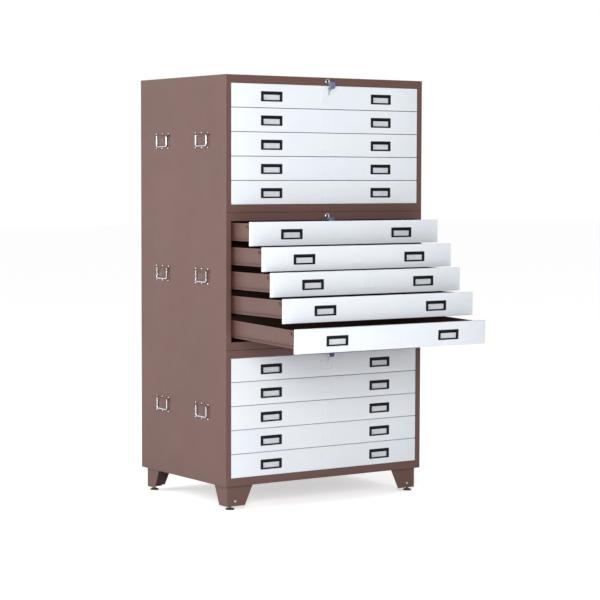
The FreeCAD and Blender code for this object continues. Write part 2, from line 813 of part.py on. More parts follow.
def make_bail(name, level, side, along):
    """A U-shaped bail of round rod that hangs against its plate from two pivots."""
    label = f"{name}_bail"
    middle = f"{along} * sizes.handle_spacing"
    pivot_height = f"{floor_of(level)} + sizes.handle_lift + sizes.pivot_lift"
    across = f"{side} * (sizes.case_width / 2 + sizes.plate_sheet + sizes.bail_standoff)"
    curve_height = f"{pivot_height} - sizes.bail_drop + sizes.bail_bend"
    pivot_length = "sizes.bail_rod + sizes.ear_gap + sizes.ear_length - 1"
    pieces = []
    for end in (-1, 1):
        arm = f"{middle} + {end} * sizes.bail_reach / 2"
        pieces.append(rod(f"{label}_arm", "z", (across, arm, curve_height),
                          "sizes.bail_rod", "sizes.bail_drop - sizes.bail_bend"))
        knob = doc.addObject("Part::Sphere", f"{label}_knob")
        knob.setExpression("Radius", "sizes.bail_rod")
        pieces.append(place(knob, (across, arm, pivot_height)))
        start = arm if end > 0 else f"{arm} - ({pivot_length})"
        pieces.append(rod(f"{label}_pivot", "y", (across, start, pivot_height),
                          "sizes.pivot_radius", pivot_length))
        bend = doc.addObject("Part::Torus", f"{label}_bend")
        bend.setExpression("Radius1", "sizes.bail_bend")
        bend.setExpression("Radius2", "sizes.bail_rod")
        bend.Angle3 = 90
        start_angle = 180 if end > 0 else 90
        spin = FreeCAD.Rotation(Vector(0, 0, 1), start_angle - 180)
        turn = FreeCAD.Rotation(Vector(0, 1, 0), 90).multiply(spin)
        bend.Placement = FreeCAD.Placement(Vector(), turn)
        bend_middle = f"{middle} + {end} * (sizes.bail_reach / 2 - sizes.bail_bend)"
        pieces.append(place(bend, (across, bend_middle, curve_height)))
    grip_start = f"{middle} - sizes.bail_reach / 2 + sizes.bail_bend"
    pieces.append(rod(f"{label}_grip", "y", (across, grip_start, f"{pivot_height} - sizes.bail_drop"),
                      "sizes.bail_rod", "sizes.bail_reach - 2 * sizes.bail_bend"))
    bail = fused(label, pieces)
    bail.Label = label
    return bail


# ---------------------------------------------------------------------------------------------------
# Feet
# ---------------------------------------------------------------------------------------------------


def make_foot():
    """The left front foot: two tapered plates in an L, a top flange, and a shelf bored for the leveller."""
    body = body_for("left_front_foot")
    low = "sizes.case_base - sizes.foot_height"
    corner = "-sizes.case_width / 2 + sizes.foot_inset"
    front = "-sizes.case_depth / 2 + sizes.foot_inset"

    face = sketch_on(body, "front_plate", "XZ_Plane", f"-({front})")
    outline(face, (
        (corner, low),
        (f"{corner} + sizes.foot_front_toe", low),
        (f"{corner} + sizes.foot_front_top", "sizes.case_base"),
        (corner, "sizes.case_base"),
    ))
    extruded(body, "Pad", face, "front", "sizes.foot_sheet", True)

    flank = sketch_on(body, "side_plate", "YZ_Plane", corner)
    outline(flank, (
        (front, low),
        (f"{front} + sizes.foot_side_toe", low),
        (f"{front} + sizes.foot_side_top", "sizes.case_base"),
        (front, "sizes.case_base"),
    ))
    extruded(body, "Pad", flank, "side", "sizes.foot_sheet")

    flange = sketch_on(body, "top_flange", "XY_Plane", "sizes.case_base - sizes.foot_sheet")
    outline(flange, (
        (corner, front),
        (f"{corner} + sizes.foot_front_top - sizes.flange_short", front),
        (f"{corner} + sizes.flange_width", f"{front} + sizes.foot_side_top - sizes.flange_short"),
        (corner, f"{front} + sizes.foot_side_top - sizes.flange_short"),
    ))
    extruded(body, "Pad", flange, "flange", "sizes.foot_sheet")

    shelf = sketch_on(body, "shelf", "XY_Plane", f"{low} + sizes.foot_shelf_lift")
    rectangle(shelf, corner, front, f"{corner} + sizes.shelf_width", f"{front} + sizes.shelf_width")
    extruded(body, "Pad", shelf, "leveller_shelf", "sizes.foot_shelf_sheet")

    bore = sketch_on(body, "bore", "XY_Plane", f"{low} + sizes.foot_shelf_lift")
    circle(bore, "-sizes.case_width / 2 + sizes.leveller_inset",
           "-sizes.case_depth / 2 + sizes.leveller_setback", "sizes.leveller_bore")
    extruded(body, "Pocket", bore, "leveller_hole", "sizes.foot_shelf_sheet + 1", True)
    return body


def make_feet():
    """The four feet, each a mirror image of its neighbours."""
    left_front = make_foot()
    right_front = mirrored("right_front_foot", left_front, Vector(1, 0, 0))
    left_rear = mirrored("left_rear_foot", left_front, Vector(0, 1, 0))
    right_rear = mirrored("right_rear_foot", right_front, Vector(0, 1, 0))
    return grouped("foot_brackets", [left_front, right_front, left_rear, right_rear])


def make_leveller(label, side, along):
    """A screw-in leveller: a round pad on a stem."""
    name = f"{label}_leveller"
    across = f"{side} * (sizes.case_width / 2 - sizes.leveller_inset)"
    away = f"{along} * (sizes.case_depth / 2 - sizes.leveller_setback)"
    pad = rod(f"{name}_pad", "z", (across, away, "0"), "sizes.leveller_pad", "sizes.leveller_thickness")
    stem = rod(f"{name}_stem", "z", (across, away, "0"), "sizes.leveller_stem", "sizes.leveller_length")
    whole = fused(name, [pad, stem])
    whole.Label = name
    return whole


# ---------------------------------------------------------------------------------------------------
# Assembly, checks and files
# ---------------------------------------------------------------------------------------------------


def make_cabinet():
    """Every sub-part, in the order of its files."""
    parts = [make_case(case, level) for level, case in enumerate(CASES)]
    for level, case in enumerate(CASES):
        for drawer in DRAWERS:
            parts.append(make_front(case, level, drawer))
            parts.append(make_tray(case, level, drawer))
    parts += make_runners()
    parts.append(grouped("lock_barrels", [make_barrel(case, level) for level, case in enumerate(CASES)]))
    for level, case in enumerate(CASES):
        parts.append(make_plug(case, level))
        parts.append(make_lock_bar(case, level))
    parts.append(grouped("handle_plates", [make_plate(*spot) for spot in handle_spots()]))
    parts += [make_bail(*spot) for spot in handle_spots()]
    parts.append(make_feet())
    for label, side in SIDES:
        parts.append(make_leveller(f"{label}_front", side, -1))
        parts.append(make_leveller(f"{label}_rear", side, 1))
    return parts


def check(parts):
    """Stop with a message if any object failed, any shape is bad, or a pocket took nothing away."""
    faults = []
    for item in doc.Objects:
        if "Invalid" in item.State or "Error" in item.State:
            faults.append(f"{item.Name} is {item.State}")
        if item.TypeId == "PartDesign::Pocket":
            before = item.BaseFeature.Shape.Volume
            if item.Shape.Volume > before - 1:
                faults.append(f"{item.Name} takes nothing away")
    for part in parts:
        if part.Shape.isNull() or not part.Shape.isValid():
            faults.append(f"{part.Label} has no valid shape")
    if faults:
        raise RuntimeError("; ".join(faults))


def write(parts):
    """One STEP file for each sub-part, named after its label."""
    os.makedirs("parts", exist_ok=True)
    for part in parts:
        part.Shape.exportStep(os.path.join("parts", f"{part.Label}.step"))
        print(f"{part.Label}: {len(part.Shape.Solids)} solids, {part.Shape.Volume / 1000:.1f} cm3")


cabinet = make_cabinet()
doc.recompute()
check(cabinet)
write(cabinet)
print(f"{len(cabinet)} nodes")
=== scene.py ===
"""A flat file cabinet of three stacked cases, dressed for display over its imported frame.

Sizes are in millimetres and become metres where a mesh is made. Whatever repeats is modelled once about a
handy corner of its own and copied to each place that the frame gives.
"""

import json
import logging
from contextlib import contextmanager
from dataclasses import dataclass
from enum import Enum
from math import cos, pi, radians, sin
from typing import Callable, Iterator, Sequence

import bmesh
import bpy
from mathutils import Matrix, Vector


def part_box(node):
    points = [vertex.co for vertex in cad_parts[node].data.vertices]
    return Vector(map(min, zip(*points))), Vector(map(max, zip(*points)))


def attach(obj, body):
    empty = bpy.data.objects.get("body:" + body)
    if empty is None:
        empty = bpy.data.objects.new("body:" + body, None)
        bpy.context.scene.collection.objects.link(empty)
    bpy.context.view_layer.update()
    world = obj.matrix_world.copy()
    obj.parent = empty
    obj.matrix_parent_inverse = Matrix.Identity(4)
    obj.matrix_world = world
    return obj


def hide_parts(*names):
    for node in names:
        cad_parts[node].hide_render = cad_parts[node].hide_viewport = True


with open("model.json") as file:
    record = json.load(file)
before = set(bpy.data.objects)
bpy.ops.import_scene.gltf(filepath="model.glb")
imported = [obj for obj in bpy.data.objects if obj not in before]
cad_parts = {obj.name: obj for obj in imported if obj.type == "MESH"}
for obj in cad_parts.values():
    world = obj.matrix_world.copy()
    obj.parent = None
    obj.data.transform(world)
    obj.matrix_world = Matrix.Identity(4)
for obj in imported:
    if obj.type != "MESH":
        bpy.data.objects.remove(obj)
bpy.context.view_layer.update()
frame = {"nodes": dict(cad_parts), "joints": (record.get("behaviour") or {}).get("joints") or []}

MM = 0.001
CASES = ("lower", "middle", "upper")
DRAWERS = (1, 2, 3, 4, 5)
Colour = tuple[float, float, float, float]
Point = Sequence[float]
Piece = bpy.types.Object
Socket = bpy.types.NodeSocket
Tree = bpy.types.NodeTree
Test = Callable[[Vector, Vector], bool]
# The cosine past which a face or an edge counts as square to an axis.
SQUARE = 0.9
log = logging.getLogger("cabinet")


class Slot(Enum):
    """The finishes that the record lists."""

    BROWN = "brown_paint"
    WHITE = "white_paint"
    ZINC = "zinc_steel"
    CHROME = "chrome"
    BLACK = "black_plastic"
    INSERT = "grey_insert"
    KEY = "key_plastic"


# For each axis its direction, and the turn that lays a bar along it.
AXES = {"X": (1.0, 0.0, 0.0), "Y": (0.0, 1.0, 0.0), "Z": (0.0, 0.0, 1.0)}
TURNS = {"X": (0.0, pi / 2, 0.0), "Y": (pi / 2, 0.0, 0.0), "Z": (0.0, 0.0, 0.0)}


def clear() -> None:
    """Leaves edit mode and drops every selection."""
    if bpy.context.mode != "OBJECT":
        bpy.ops.object.mode_set(mode="OBJECT")
    bpy.ops.object.select_all(action="DESELECT")


def hold(*pieces: Piece) -> None:
    """Picks up some pieces and nothing else.

    Args:
        pieces: the pieces, of which the first is worked.
    """
    clear()
    for piece in pieces:
        piece.select_set(True)
    bpy.context.view_layer.objects.active = pieces[0]


def named(name: str) -> Piece:
    """Names the new stock and settles its place into its mesh.

    Args:
        name: what it is called.

    Returns:
        The new piece.
    """
    piece = bpy.context.object
    piece.name = piece.data.name = name
    bpy.ops.object.transform_apply(location=True, rotation=True, scale=True)
    return piece


def block(name: str, low: Point, high: Point) -> Piece:
    """Adds a block between two corners.

    Args:
        name: what the piece is called.
        low: its lowest corner, in millimetres.
        high: its highest corner, in millimetres.

    Returns:
        The new piece.
    """
    clear()
    start, end = Vector(low) * MM, Vector(high) * MM
    bpy.ops.mesh.primitive_cube_add(size=1.0, location=(start + end) / 2, scale=end - start)
    return named(name)


def disc(name: str, middle: Point, axis: str, radius: float, length: float, sides: int = 32) -> Piece:
    """Adds a round bar or, with few sides, a nut.

    Args:
        name: what the piece is called.
        middle: the middle of the bar, in millimetres.
        axis: the letter of the axis that it lies along.
        radius: its radius.
        length: its length.
        sides: how many flats make the round.

    Returns:
        The new piece.
    """
    clear()
    bpy.ops.mesh.primitive_cylinder_add(vertices=sides, radius=radius * MM, depth=length * MM,
                                        location=Vector(middle) * MM, rotation=TURNS[axis])
    return named(name)


@contextmanager
def shaping(piece: Piece) -> Iterator[None]:
    """Holds a piece open in edit mode while its faces and edges are worked.

    Args:
        piece: the piece to open.
    """
    hold(piece)
    bpy.ops.object.mode_set(mode="EDIT")
    yield
    bpy.ops.mesh.select_all(action="SELECT")
    bpy.ops.mesh.remove_doubles(threshold=0.002 * MM)
    bpy.ops.mesh.normals_make_consistent(inside=False)
    bpy.ops.object.mode_set(mode="OBJECT")


def pick(kind: str, measure: Callable, test: Test) -> None:
    """Picks the faces or edges of the open piece that pass a test.

    Args:
        kind: "faces" or "edges".
        measure: gives the middle and the direction of one of them.
        test: takes both.
    """
    bpy.ops.mesh.select_mode(type=kind[:4].upper())
    bpy.ops.mesh.select_all(action="DESELECT")
    data = bpy.context.object.data
    picked = [item for item in getattr(bmesh.from_edit_mesh(data), kind) if test(*measure(item))]
    if not picked:
        raise ValueError(f"none of the {kind} of {data.name} is there")
    for item in picked:
        item.select_set(True)
    bmesh.update_edit_mesh(data)


def faces(test: Test) -> None:
    """Picks faces by their middles in millimetres and their normals."""
    pick("faces", lambda face: (face.calc_center_median() / MM, face.normal), test)


def edges(test: Test) -> None:
    """Picks edges by their middles in millimetres and their directions.

    Args:
        test: takes both, with every sign of the direction made positive.
    """
    pick("edges", lambda edge: (
        (edge.verts[0].co + edge.verts[1].co) / 2 / MM,
        Vector(abs(part) for part in (edge.verts[1].co - edge.verts[0].co).normalized())), test)


def cut(axis: str, *places: float) -> None:
    """Scores the whole piece across an axis.

    Args:
        axis: the letter of the axis.
        places: where along it each score goes, in millimetres.
    """
    normal = AXES[axis]
    for place in places:
        bpy.ops.mesh.select_all(action="SELECT")
        bpy.ops.mesh.bisect(plane_co=[part * place * MM for part in normal], plane_no=normal,
                            threshold=0.001 * MM)


def push(x: float = 0.0, y: float = 0.0, z: float = 0.0) -> None:
    """Pulls walls out of the picked faces by moving them."""
    bpy.ops.mesh.extrude_region_move(TRANSFORM_OT_translate={"value": (x * MM, y * MM, z * MM)})


def inset(test: Test, *steps: tuple[float, float]) -> None:
    """Draws the faces that pass a test in from their outline, and raises or sinks them.

    Args:
        test: takes a face's middle in millimetres and its normal.
        steps: the width and the rise of each step.
    """
    faces(test)
    for width, rise in steps:
        bpy.ops.mesh.inset(thickness=width * MM, depth=rise * MM)


def ease(test: Test, radius: float, steps: int = 2) -> None:
    """Rounds the edges that pass a test.

    Args:
        test: takes an edge's middle in millimetres and its direction.
        radius: the round's radius.
        steps: how many facets make it.
    """
    edges(test)
    bpy.ops.mesh.bevel(offset=radius * MM, segments=steps, affect="EDGES", clamp_overlap=True)


def waist(factor: float, middle: Point) -> None:
    """Draws the picked edges in towards an upright axis.

    Args:
        factor: the share of their size that they keep.
        middle: a point on the axis, in millimetres.
    """
    bpy.ops.transform.resize(value=(factor, factor, 1.0), center_override=Vector(middle) * MM)


def smooth(piece: Piece, angle: float = 35.0) -> Piece:
    """Shades a piece smooth.

    Args:
        piece: the piece.
        angle: the degrees between faces up to which their edge is smooth.

    Returns:
        The same piece.
    """
    hold(piece)
    bpy.ops.object.shade_smooth_by_angle(angle=radians(angle))
    return piece


def joined(name: str, pieces: Sequence[Piece]) -> Piece:
    """Makes one piece of several, each keeping its finish.

    Args:
        name: what the whole is called.
        pieces: the pieces, of which the first takes in the others.

    Returns:
        The joined piece.
    """
    hold(*pieces)
    bpy.ops.object.join()
    pieces[0].name = pieces[0].data.name = name
    return pieces[0]


def copied(source: Piece, name: str, move: Matrix) -> Piece:
    """Copies a piece with a mesh of its own and moves the mesh.

    Args:
        source: the piece to copy.
        name: what the copy is called.
        move: where the copy goes, in metres.

    Returns:
        The copy.
    """
    twin = source.copy()
    twin.data = source.data.copy()
    twin.name = twin.data.name = name
    twin.data.transform(move)
    if move.determinant() < 0:
        twin.data.flip_normals()
    bpy.context.scene.collection.objects.link(twin)
    return twin


def discard(*pieces: Piece) -> None:
    """Clears patterns off the bench once their copies are made."""
    for piece in pieces:
        bpy.data.objects.remove(piece)


def near(value: float, target: float, slack: float = 0.02) -> bool:
    """Whether two sizes in millimetres are the same."""
    return abs(value - target) < slack


def looks(x: float = 0.0, y: float = 0.0, z: float = 0.0) -> Test:
    """Makes a test for what looks or runs along a direction."""
    return lambda at, way: way.dot(Vector((x, y, z))) > SQUARE


def either(axis: str) -> Test:
    """Makes a test for what looks or runs either way along an axis."""
    return lambda at, way: abs(getattr(way, axis)) > SQUARE


def shift(x: float, y: float, z: float) -> Matrix:
    """A move by millimetres."""
    return Matrix.Translation(Vector((x, y, z)) * MM)


def fit(piece: Piece, body: str, slot: Slot, *stands_for: str) -> None:
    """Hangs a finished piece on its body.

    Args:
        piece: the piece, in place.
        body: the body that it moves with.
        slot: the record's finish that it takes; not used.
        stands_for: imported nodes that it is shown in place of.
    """
    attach(piece, body)
    if stands_for:
        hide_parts(*stands_for)
    log.info("%s on %s, %d faces", piece.name, body, len(piece.data.polygons))


def add(tree: Tree, kind: str, inputs: dict | None = None, **settings: object) -> bpy.types.Node:
    """Adds a shader node.

    Args:
        tree: the material's or group's nodes.
        kind: the node's type, without its family's name.
        inputs: for each input, a value or the socket that feeds it.
        settings: the node's options.

    Returns:
        The node.
    """
    made = tree.nodes.new(f"ShaderNode{kind}")
    for key, value in settings.items():
        setattr(made, key, value)
    for key, value in (inputs or {}).items():
        if isinstance(value, Socket):
            tree.links.new(value, made.inputs[key])
        else:
            made.inputs[key].default_value = value
    return made


def blended(tree: Tree, share: object, first: object, second: object) -> Socket:
    """Mixes two colours.

    Args:
        tree: the material's or group's nodes.
        share: how much of the second colour shows.
        first: a colour or its socket.
        second: a colour or its socket.

    Returns:
        The mixed colour's socket.
    """
    return add(tree, "Mix", {0: share, 6: first, 7: second}, data_type="RGBA").outputs[2]


class Effects:
    """The surface effects that several finishes share, each a node group."""

    def __init__(self) -> None:
        """Builds each group."""
        self.peel = self._peel()
        self.drift = self._drift()
        self.handling = self._handling()
        self.dust = self._dust()

    @staticmethod
    def _opened(name: str, inputs: dict[str, str], output: str, kind: str) -> tuple[Tree, dict, Socket]:
        """Starts a group that reads a place and some named values.

        Args:
            name: what the group is called.
            inputs: the kind of each named value.
            output: the name of what it puts out.
            kind: the kind of what it puts out.

        Returns:
            The group, its inputs' sockets and its output's socket.
        """
        tree = bpy.data.node_groups.new(name, "ShaderNodeTree")
        for label, sort in {"Vector": "Vector", **inputs}.items():
            tree.interface.new_socket(label, in_out="INPUT", socket_type=f"NodeSocket{sort}")
        tree.interface.new_socket(output, in_out="OUTPUT", socket_type=f"NodeSocket{kind}")
        given = {socket.name: socket for socket in tree.nodes.new("NodeGroupInput").outputs}
        return tree, given, tree.nodes.new("NodeGroupOutput").inputs[output]

    @staticmethod
    def _clouds(tree: Tree, place: Socket, size: Socket, **values: float) -> tuple[Socket, Socket]:
        """Adds a noise of a size in metres.

        Args:
            tree: the group's nodes.
            place: where the noise is read.
            size: how far apart its clouds are.
            values: the noise's other inputs.

        Returns:
            The noise and its scale.
        """
        scale = add(tree, "Math", {0: 1.0, 1: size}, operation="DIVIDE").outputs[0]
        noise = add(tree, "TexNoise", {"Vector": place, "Scale": scale, **values})
        return noise.outputs["Fac"], scale

    @staticmethod
    def _spread(tree: Tree, value: Socket, low: float | Socket, high: Socket) -> Socket:
        """Stretches the middle of a noise's range over another."""
        return add(tree, "MapRange", {"Value": value, "From Min": 0.3, "From Max": 0.7,
                                                "To Min": low, "To Max": high}).outputs[0]

    def _peel(self) -> Tree:
        """Makes fine rounded bumps, as sprayed powder leaves when it melts.

        Returns:
            The group.
        """
        tree, given, height = self._opened("peel", {"Size": "Float"}, "Height", "Float")
        broad, scale = self._clouds(tree, given["Vector"], given["Size"], Detail=1.0)
        finer = add(tree, "Math", {0: scale, 1: 2.7}, operation="MULTIPLY").outputs[0]
        fine = add(tree, "TexNoise", {"Vector": given["Vector"], "Scale": finer, "Detail": 1.0})
        both = add(tree, "Math", {0: fine.outputs["Fac"], 1: 0.4, 2: broad}, operation="MULTIPLY_ADD")
        tree.links.new(both.outputs[0], height)
        return tree

    def _drift(self) -> Tree:
        """Makes a slow change of colour across a panel.

        Returns:
            The group.
        """
        inputs = {"Size": "Float", "Amount": "Float", "Light": "Color", "Deep": "Color"}
        tree, given, colour = self._opened("drift", inputs, "Color", "Color")
        cloud, _ = self._clouds(tree, given["Vector"], given["Size"], Detail=3.0, Roughness=0.55)
        share = self._spread(tree, cloud, 0.0, given["Amount"])
        tree.links.new(blended(tree, share, given["Light"], given["Deep"]), colour)
        return tree

    def _handling(self) -> Tree:
        """Makes gloss that hands and cloths have changed in patches.

        Returns:
            The group.
        """
        tree, given, gloss = self._opened(
            "handling", {"Size": "Float", "Low": "Float", "High": "Float"}, "Roughness", "Float")
        patch, _ = self._clouds(tree, given["Vector"], given["Size"], Detail=5.0, Roughness=0.65)
        tree.links.new(self._spread(tree, patch, given["Low"], given["High"]), gloss)
        return tree

    def _dust(self) -> Tree:
        """Makes a faint film of dust on whatever faces up.

        Returns:
            The group.
        """
        tree, given, colour = self._opened(
            "dust", {"Amount": "Float", "Clean": "Color", "Dust": "Color"}, "Color", "Color")
        facing = add(tree, "SeparateXYZ", {0: add(tree, "NewGeometry").outputs["Normal"]})
        up = add(tree, "MapRange", {"Value": facing.outputs["Z"], "From Min": 0.6, "From Max": 1.0})
        share = add(tree, "TexNoise", {"Vector": given["Vector"], "Scale": 60.0,
                                                 "Detail": 6.0}).outputs["Fac"]
        for factor in (up.outputs[0], given["Amount"]):
            share = add(tree, "Math", {0: share, 1: factor}, operation="MULTIPLY").outputs[0]
        tree.links.new(blended(tree, share, given["Clean"], given["Dust"]), colour)
        return tree


class Surface:
    """A material in the making, with short ways to place the shared effects."""

    def __init__(self, name: str, effects: Effects) -> None:
        """Starts the material.

        Args:
            name: what it is called.
            effects: the shared effects.
        """
        self.material = bpy.data.materials.new(name)
        self.material.use_nodes = True
        self.effects = effects
        self.tree = self.material.node_tree
        self.shader = self.tree.nodes["Principled BSDF"]
        self.place = add(self.tree, "TexCoord").outputs["Object"]

    def group(self, which: Tree, inputs: dict) -> Socket:
        """Places a shared effect and returns what it puts out."""
        settings = {"Vector": self.place, **inputs}
        return add(self.tree, "Group", settings, node_tree=which).outputs[0]

    def feed(self, **sockets: Socket) -> None:
        """Feeds the shader's inputs, whose names are written with underscores."""
        for label, socket in sockets.items():
            self.tree.links.new(socket, self.shader.inputs[label.replace("_", " ")])

    def set(self, **values: float) -> None:
        """Sets the shader's plain inputs, whose names are written with underscores."""
        for label, value in values.items():
            self.shader.inputs[label.replace("_", " ")].default_value = value

    def bump(self, height: Socket, depth: float) -> None:
        """Raises the surface by a height, whose full range is a depth in millimetres."""
        bump = add(self.tree, "Bump", {"Height": height, "Strength": 1.0, "Distance": depth * MM})
        self.feed(Normal=bump.outputs[0])


@dataclass(frozen=True)
class Finish:
    """A finish whose tone, gloss and fine relief change over the surface; sizes of patches in metres."""

    name: str
    light: Colour
    deep: Colour
    dust: Colour | None = None
    patch: float = 0.03
    amount: float = 0.9
    handled: float = 0.02
    low: float = 0.38
    high: float = 0.52
    grain_size: float = 0.5
    grain_depth: float = 0.012
    specular: float = 0.5
    metallic: float = 0.0

    def make(self, effects: Effects) -> bpy.types.Material:
        """Builds the material.

        Args:
            effects: the shared effects.

        Returns:
            The material.
        """
        made = Surface(self.name, effects)
        tone = made.group(effects.drift, {"Size": self.patch, "Amount": self.amount, "Light": self.light,
                                          "Deep": self.deep})
        if self.dust:
            tone = made.group(effects.dust, {"Amount": 0.22, "Clean": tone, "Dust": self.dust})
        gloss = made.group(effects.handling, {"Size": self.handled, "Low": self.low, "High": self.high})
        made.feed(Base_Color=tone, Roughness=gloss)
        made.bump(made.group(effects.peel, {"Size": self.grain_size * MM}), self.grain_depth)
        made.set(Specular_IOR_Level=self.specular, Metallic=self.metallic)
        return made.material


@dataclass(frozen=True)
class PowderCoat(Finish):
    """Baked powder paint on sheet steel."""

    patch: float = 0.5
    amount: float = 0.8
    handled: float = 0.14
    low: float = 0.36
    high: float = 0.48
    grain_size: float = 1.6
    grain_depth: float = 0.02


@dataclass(frozen=True)
class MouldedPlastic(Finish):
    """Moulded plastic with a fine spark-eroded grain."""


@dataclass(frozen=True)
class BrightPlate(Finish):
    """Bright nickel-chrome plate with the rod's draw marks just showing."""

    patch: float = 0.012
    amount: float = 0.8
    handled: float = 0.006
    low: float = 0.1
    high: float = 0.24
    grain_size: float = 0.9
    grain_depth: float = 0.004
    metallic: float = 1.0


@dataclass(frozen=True)
class ZincPlate:
    """Zinc-plated steel with its crystal spangle and a dull film."""

    name: str
    light: Colour
    deep: Colour

    def make(self, effects: Effects) -> bpy.types.Material:
        """Builds the material.

        Args:
            effects: the shared effects.

        Returns:
            The material.
        """
        made = Surface(self.name, effects)
        spangle = add(made.tree, "TexVoronoi", {"Vector": made.place, "Scale": 140.0})
        crystal = add(made.tree, "SeparateColor", {0: spangle.outputs["Color"]})
        tone = blended(made.tree, crystal.outputs[0], self.light, self.deep)
        gloss = add(made.tree, "MapRange", {"Value": crystal.outputs[1], "To Min": 0.34, "To Max": 0.5})
        made.feed(Base_Color=tone, Roughness=gloss.outputs[0])
        made.set(Metallic=1.0)
        made.bump(made.group(effects.peel, {"Size": 1.2 * MM}), 0.006)
        return made.material


class Paintshop:
    """Every finish on the cabinet, made once."""

    def __init__(self) -> None:
        """Mixes each finish."""
        effects = Effects()
        self.brown = PowderCoat("brown_powder_coat", (0.130, 0.064, 0.053, 1.0), (0.112, 0.055, 0.046, 1.0),
                                (0.30, 0.24, 0.21, 1.0)).make(effects)
        self.white = PowderCoat("white_powder_coat", (0.74, 0.775, 0.815, 1.0), (0.71, 0.75, 0.80, 1.0),
                                (0.84, 0.85, 0.86, 1.0), patch=0.35, low=0.30, high=0.42,
                                grain_depth=0.012).make(effects)
        # Black pull plastic; in each mouth, above the grey panel, it is painted shade under the lip.
        self.black = MouldedPlastic("black_pull_plastic", (0.006, 0.0065, 0.008, 1.0),
                                    (0.003, 0.0035, 0.004, 1.0), specular=0.22).make(effects)
        self.insert = MouldedPlastic("grey_label_panel", (0.60, 0.62, 0.66, 1.0), (0.52, 0.54, 0.58, 1.0),
                                     low=0.3, high=0.45).make(effects)
        self.chrome = BrightPlate("bright_chrome", (0.78, 0.79, 0.82, 1.0),
                                  (0.62, 0.64, 0.69, 1.0)).make(effects)
        self.zinc = ZincPlate("zinc_plate", (0.50, 0.51, 0.53, 1.0), (0.38, 0.39, 0.41, 1.0)).make(effects)
        self.key = MouldedPlastic("violet_key_plastic", (0.112, 0.112, 0.235, 1.0),
                                  (0.08, 0.08, 0.175, 1.0)).make(effects)
        self.nylon = MouldedPlastic("grey_nylon", (0.18, 0.165, 0.155, 1.0), (0.13, 0.12, 0.115, 1.0),
                                    low=0.45, high=0.6).make(effects)
        self.rubber = MouldedPlastic("dark_pad_rubber", (0.075, 0.067, 0.06, 1.0),
                                     (0.05, 0.045, 0.042, 1.0), low=0.6, high=0.75).make(effects)


def dress(piece: Piece, material: bpy.types.Material) -> Piece:
    """Gives a piece one finish all over.

    Args:
        piece: the piece.
        material: its finish.

    Returns:
        The same piece.
    """
    if not piece.data.materials:
        piece.data.materials.append(material)
    for number in range(len(piece.material_slots)):
        piece.material_slots[number].material = material
    return piece


@dataclass
class Screws:
    """A domed screw head with a driver recess, modelled once along Y with its head towards the front."""

    shop: Paintshop
    radius: float = 3.2
    proud: float = 1.7

    def pattern(self) -> Piece:
        """Models one head standing on the plane of the front.

        Returns:
            The piece.
        """
        head = disc("screw_head", (0.0, -self.proud / 2, 0.0), "Y", self.radius, self.proud, 20)
        with shaping(head):
            ease(lambda at, way: near(at.y, -self.proud), self.proud * 0.55, 3)
            inset(lambda at, way: way.y < -0.99, (self.radius * 0.12, 0.0),
                  (self.radius * 0.06, -0.45))
        return smooth(dress(head, self.shop.chrome), 50.0)

    def set_of(self, name: str, places: Sequence[Matrix]) -> Piece:
        """Copies a head to each place and joins them.

        Args:
            name: what the set is called.
            places: where each head goes.

        Returns:
            The joined heads.
        """
        pattern = self.pattern()
        heads = [copied(pattern, f"{name}_{number}", place) for number, place in enumerate(places)]
        discard(pattern)
        return joined(name, heads)


